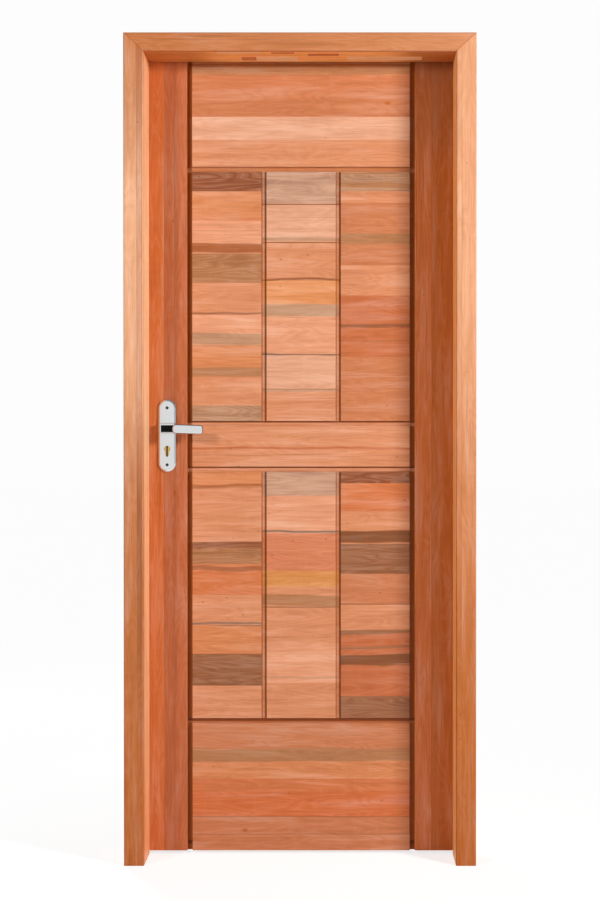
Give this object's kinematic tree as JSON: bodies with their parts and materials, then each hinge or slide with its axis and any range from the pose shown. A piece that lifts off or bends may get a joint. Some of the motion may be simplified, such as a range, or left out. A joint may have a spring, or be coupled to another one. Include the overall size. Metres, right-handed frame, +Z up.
{
  "type": "prehung door",
  "caption": "Panelled wooden door leaf on butt hinges in a rebated frame with mitred casing, with lever handles on long lock plates, a sprung latch and a keyed deadbolt.",
  "frame": {"origin": "On the floor, in the middle of the doorway, in the plane where the casing meets the jambs.", "axes": "+X to the hinge side as the casing is faced, +Y through the doorway from the casing to the hinge knuckles, the way that the leaf opens, +Z up."},
  "size_m": [0.91, 0.204, 2.149],
  "materials": {
    "frame_wood": "oiled, fine grain",
    "casing_wood": "oiled, fine grain",
    "stile_wood": "oiled, upright grain",
    "rail_wood": "oiled, level grain in strips",
    "panel_wood": "oiled, level grain in strips",
    "handle_chrome": "satin chrome",
    "black_tile": "gloss",
    "cylinder_brass": "satin",
    "hinge_steel": "satin",
    "lock_steel": "satin",
    "screw_steel": "satin"
  },
  "bodies": {
    "frame": {"strike_jamb": "frame_wood", "hinge_jamb": "frame_wood", "head_jamb": "frame_wood", "casing_left": "casing_wood", "casing_right": "casing_wood", "casing_head": "casing_wood", "head_screws": "screw_steel", "strike_plate": "lock_steel", "strike_box": "lock_steel", "strike_screws": "screw_steel", "hinge_jamb_screws": "screw_steel", "hinge_bottom_jamb_flap": "hinge_steel", "hinge_middle_jamb_flap": "hinge_steel", "hinge_top_jamb_flap": "hinge_steel", "hinge_bottom_pin": "hinge_steel", "hinge_middle_pin": "hinge_steel", "hinge_top_pin": "hinge_steel"},
    "leaf": {"lock_stile": "stile_wood", "hinge_stile": "stile_wood", "bottom_rail": "rail_wood", "lock_rail": "rail_wood", "top_rail": "rail_wood", "panel_lower_left": "panel_wood", "panel_lower_centre": "panel_wood", "panel_lower_right": "panel_wood", "panel_upper_left": "panel_wood", "panel_upper_centre": "panel_wood", "panel_upper_right": "panel_wood", "hinge_bottom_leaf_flap": "hinge_steel", "hinge_middle_leaf_flap": "hinge_steel", "hinge_top_leaf_flap": "hinge_steel", "hinge_leaf_screws": "screw_steel", "lock_case": "lock_steel", "lock_cover": "lock_steel", "lock_faceplate": "lock_steel", "faceplate_screws": "screw_steel", "latch_spring": "lock_steel", "cylinder_body": "cylinder_brass", "cylinder_screw": "screw_steel", "front_plate": "handle_chrome", "back_plate": "handle_chrome", "plate_screws": "screw_steel"},
    "lever": {"front_lever": "handle_chrome", "back_lever": "handle_chrome", "front_inlay": "black_tile", "back_inlay": "black_tile", "spindle": "lock_steel", "follower": "lock_steel", "lever_grub_screws": "screw_steel"},
    "latch": {"latch_bolt": "lock_steel"},
    "deadbolt": {"deadbolt": "lock_steel"},
    "key": {"front_plug": "cylinder_brass", "back_plug": "cylinder_brass", "lock_cam": "lock_steel"}
  },
  "joints": [
    {"name": "leaf_swing", "type": "hinge", "parent": "frame", "child": "leaf", "pos_m": [0.4115, 0.1458, 1], "axis": [0, 0, -1], "range_deg": [0, 170]},
    {"name": "lever_turn", "type": "hinge", "parent": "leaf", "child": "lever", "pos_m": [-0.355, 0.1225, 1.131], "axis": [0, 1, 0], "range_deg": [0, 40], "stiffness_Nm_per_rad": 2, "springref_deg": -28.65},
    {"name": "latch_slide", "type": "slide", "parent": "leaf", "child": "latch", "axis": [1, 0, 0], "range_m": [0, 0.0106], "deforming": ["latch_spring"]},
    {"name": "deadbolt_throw", "type": "slide", "parent": "leaf", "child": "deadbolt", "axis": [-1, 0, 0], "range_m": [0, 0.02]},
    {"name": "key_turn", "type": "hinge", "parent": "leaf", "child": "key", "pos_m": [-0.355, 0.1225, 1.076], "axis": [0, -1, 0], "range_deg": [0, 90.2]}
  ],
  "couplings": [
    {"joint": "latch_slide", "follows": "lever_turn", "m_per_rad": 0.01504},
    {"joint": "key_turn", "follows": "deadbolt_throw", "rad_per_m": 78.54}
  ]
}
